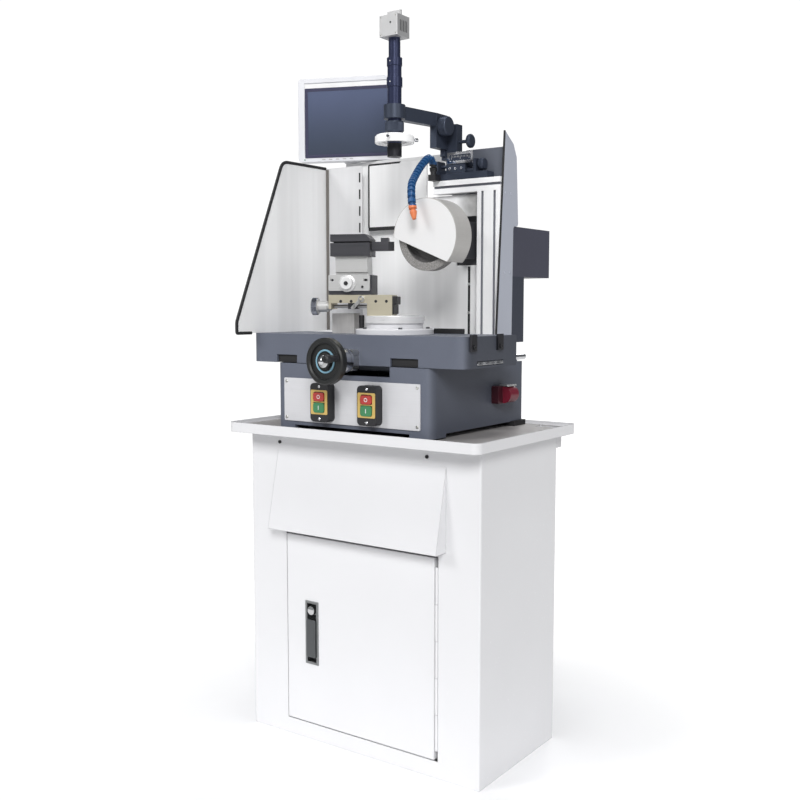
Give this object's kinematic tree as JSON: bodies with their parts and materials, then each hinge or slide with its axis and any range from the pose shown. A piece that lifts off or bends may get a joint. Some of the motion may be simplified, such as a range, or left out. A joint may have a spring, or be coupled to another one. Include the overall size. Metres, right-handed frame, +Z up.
{
  "type": "tool grinder",
  "caption": "Profile grinder for lathe tools on a sheet cabinet, with a cup wheel, compound work slides, a camera over the tool tip and a swivelling monitor.",
  "frame": {"origin": "on the floor under the middle of the cabinet", "axes": "+Z up, +Y from the operator's side to the back, +X to the operator's right"},
  "size_m": [0.7045, 0.666, 1.6613],
  "materials": {
    "cabinet_white": "gloss powder coat",
    "machine_grey": "textured enamel",
    "machine_white": "satin enamel",
    "cover_grey": "textured enamel",
    "plate_grey": "satin enamel",
    "guard_white": "satin enamel",
    "panel_silver": "brushed anodised",
    "frame_aluminium": "extruded anodised",
    "ground_steel": "ground",
    "dark_steel": "blackened",
    "bright_chrome": "polished",
    "cream_steel": "ground",
    "black_plastic": "moulded",
    "black_metal": "black anodised",
    "white_plastic": "moulded",
    "red_plastic": "moulded",
    "green_plastic": "moulded",
    "blue_plastic": "moulded",
    "inlet_red": "moulded",
    "rubber_black": "moulded",
    "abrasive_grey": "bonded abrasive",
    "tank_zinc": "galvanised",
    "zinc": "zinc plated"
  },
  "bodies": {
    "frame": {"cabinet_shell": "cabinet_white", "door_hinge": "zinc", "chip_tray": "cabinet_white", "coolant_tank": "tank_zinc", "coolant_pump": "machine_grey", "machine_base": "machine_grey", "base_feet": "rubber_black", "slideways": "ground_steel", "switch_panel": "panel_silver", "switch_housings": "black_plastic", "power_inlet": "inlet_red", "head_column": "machine_grey", "back_panel": "machine_white", "side_panel": "plate_grey", "rear_cover": "cover_grey", "stroke_motor": "machine_grey", "camera_frame": "frame_aluminium", "stage_base": "black_metal", "monitor_arm": "machine_white", "hose_base": "blue_plastic"},
    "door": {"cabinet_door": "cabinet_white", "latch_body": "dark_steel"},
    "latch": {"latch_handle": "dark_steel"},
    "saddle": {"saddle": "machine_grey", "saddle_fittings": "bright_chrome", "splash_guard": "machine_white", "feed_bracket": "ground_steel", "rotary_base": "machine_white"},
    "handwheel": {"handwheel": "black_plastic", "feed_screw": "ground_steel"},
    "crank": {"crank_handle": "black_plastic"},
    "rotary": {"rotary_table": "bright_chrome", "slide_bed": "cream_steel"},
    "clamp": {"clamp_lever": "ground_steel"},
    "slide_knob": {"slide_knob": "ground_steel"},
    "lower_slide": {"lower_slide": "dark_steel", "slide_plate": "ground_steel"},
    "dial": {"dial_knob": "ground_steel"},
    "cross_slide": {"cross_slide": "ground_steel"},
    "holder": {"tool_holder": "dark_steel", "tool_bit": "dark_steel"},
    "head": {"spindle_head": "cover_grey", "wheel_guard": "guard_white"},
    "spindle": {"spindle": "ground_steel", "grinding_wheel": "abrasive_grey"},
    "wheel_stop": {"wheel_stop_button": "red_plastic"},
    "wheel_start": {"wheel_start_button": "green_plastic"},
    "pump_stop": {"pump_stop_button": "red_plastic"},
    "pump_start": {"pump_start_button": "green_plastic"},
    "stage": {"stage_slide": "black_metal"},
    "stage_knob": {"stage_knob": "black_metal"},
    "thumb": {"thumb_screw": "black_metal"},
    "focus": {"focus_arm": "black_metal", "lens_tube": "black_metal", "ring_light": "white_plastic", "camera": "white_plastic"},
    "focus_knob": {"focus_knob": "black_plastic"},
    "zoom": {"zoom_ring": "black_metal"},
    "monitor": {"monitor": "white_plastic"},
    "hose": {"hose_tip": "blue_plastic"}
  },
  "joints": [
    {"name": "door_swing", "type": "hinge", "parent": "frame", "child": "door", "pos_m": [0.212, -0.1688, 0.041], "axis": [0, 0, 1], "range_deg": [0, 110]},
    {"name": "latch_lift", "type": "hinge", "parent": "door", "child": "latch", "pos_m": [-0.133, -0.1715, 0.209], "axis": [1, 0, 0], "range_deg": [0, 45]},
    {"name": "table_feed", "type": "slide", "parent": "frame", "child": "saddle", "axis": [0, 1, 0], "range_m": [-0.02, 0.02]},
    {"name": "handwheel_turn", "type": "hinge", "parent": "saddle", "child": "handwheel", "pos_m": [0.004, -0.29, 0.902], "axis": [0, 1, 0], "range_deg": [-1800.5, 1800.5]},
    {"name": "crank_turn", "type": "hinge", "parent": "handwheel", "child": "crank", "pos_m": [0.04117, -0.29, 0.9099], "axis": [0, 1, 0], "continuous": true},
    {"name": "rotary_turn", "type": "hinge", "parent": "saddle", "child": "rotary", "pos_m": [0.038, -0.08, 0.9803], "axis": [0, 0, 1], "range_deg": [-55, 20]},
    {"name": "clamp_turn", "type": "hinge", "parent": "rotary", "child": "clamp", "pos_m": [-0.01186, -0.13635, 1.0343], "axis": [-0.4226, 0.9063, 0], "range_deg": [0, 40]},
    {"name": "lower_slide_feed", "type": "slide", "parent": "rotary", "child": "lower_slide", "axis": [0.9063, 0.4226, 0], "range_m": [-0.025, 0.008]},
    {"name": "slide_knob_turn", "type": "hinge", "parent": "rotary", "child": "slide_knob", "pos_m": [-0.08798, -0.13874, 1.0178], "axis": [0.9063, 0.4226, 0], "range_deg": [-4500.5, 1440.5]},
    {"name": "cross_slide_feed", "type": "slide", "parent": "lower_slide", "child": "cross_slide", "axis": [-0.4226, 0.9063, 0], "range_m": [-0.008, 0.008]},
    {"name": "dial_turn", "type": "hinge", "parent": "lower_slide", "child": "dial", "pos_m": [-0.03742, -0.15489, 1.0686], "axis": [-0.4226, 0.9063, 0], "range_deg": [-1440.5, 1440.5]},
    {"name": "holder_turn", "type": "hinge", "parent": "cross_slide", "child": "holder", "pos_m": [-0.04719, -0.11973, 1.1292], "axis": [0, 0, 1], "range_deg": [-10, 10]},
    {"name": "head_stroke", "type": "slide", "parent": "frame", "child": "head", "axis": [0, 0, 1], "range_m": [-0.012, 0.012]},
    {"name": "spindle_spin", "type": "hinge", "parent": "head", "child": "spindle", "pos_m": [0.128, -0.084, 1.17], "axis": [0, 1, 0], "continuous": true},
    {"name": "wheel_stop_push", "type": "slide", "parent": "frame", "child": "wheel_stop", "axis": [0, 1, 0], "range_m": [0, 0.002], "stiffness_N_per_m": 400},
    {"name": "wheel_start_push", "type": "slide", "parent": "frame", "child": "wheel_start", "axis": [0, 1, 0], "range_m": [0, 0.002], "stiffness_N_per_m": 400},
    {"name": "pump_stop_push", "type": "slide", "parent": "frame", "child": "pump_stop", "axis": [0, 1, 0], "range_m": [0, 0.002], "stiffness_N_per_m": 400},
    {"name": "pump_start_push", "type": "slide", "parent": "frame", "child": "pump_start", "axis": [0, 1, 0], "range_m": [0, 0.002], "stiffness_N_per_m": 400},
    {"name": "stage_feed", "type": "slide", "parent": "frame", "child": "stage", "axis": [1, 0, 0], "range_m": [-0.01, 0.01]},
    {"name": "stage_knob_turn", "type": "hinge", "parent": "frame", "child": "stage_knob", "pos_m": [0.038, 0.103, 1.344], "axis": [1, 0, 0], "range_deg": [-1800.5, 1800.5]},
    {"name": "thumb_turn", "type": "hinge", "parent": "stage", "child": "thumb", "pos_m": [0.092, 0.104, 1.3983], "axis": [1, 0, 0], "range_deg": [-180, 180]},
    {"name": "focus_feed", "type": "slide", "parent": "stage", "child": "focus", "axis": [0, 0, 1], "range_m": [-0.01, 0.01]},
    {"name": "focus_knob_turn", "type": "hinge", "parent": "focus", "child": "focus_knob", "pos_m": [0.066, 0.064, 1.4303], "axis": [1, 0, 0], "range_deg": [-179.55, 179.55]},
    {"name": "zoom_turn", "type": "hinge", "parent": "focus", "child": "zoom", "pos_m": [0.038, -0.08, 1.4003], "axis": [0, 0, 1], "range_deg": [-60, 60]},
    {"name": "monitor_swivel", "type": "hinge", "parent": "frame", "child": "monitor", "pos_m": [-0.2475, 0.1355, 1.378], "axis": [0, 0, 1], "range_deg": [-20, 20]},
    {"name": "hose_bend", "type": "hinge", "parent": "frame", "child": "hose", "pos_m": [0.08699, -0.08211, 1.28813], "axis": [1, 0, 0], "range_deg": [-20, 8]}
  ],
  "couplings": [
    {"joint": "handwheel_turn", "follows": "table_feed", "rad_per_m": 1570.8},
    {"joint": "slide_knob_turn", "follows": "lower_slide_feed", "rad_per_m": 3141.6},
    {"joint": "dial_turn", "follows": "cross_slide_feed", "rad_per_m": 3141.6},
    {"joint": "stage_knob_turn", "follows": "stage_feed", "rad_per_m": 3141.6},
    {"joint": "focus_knob_turn", "follows": "focus_feed", "rad_per_m": 312.5}
  ]
}
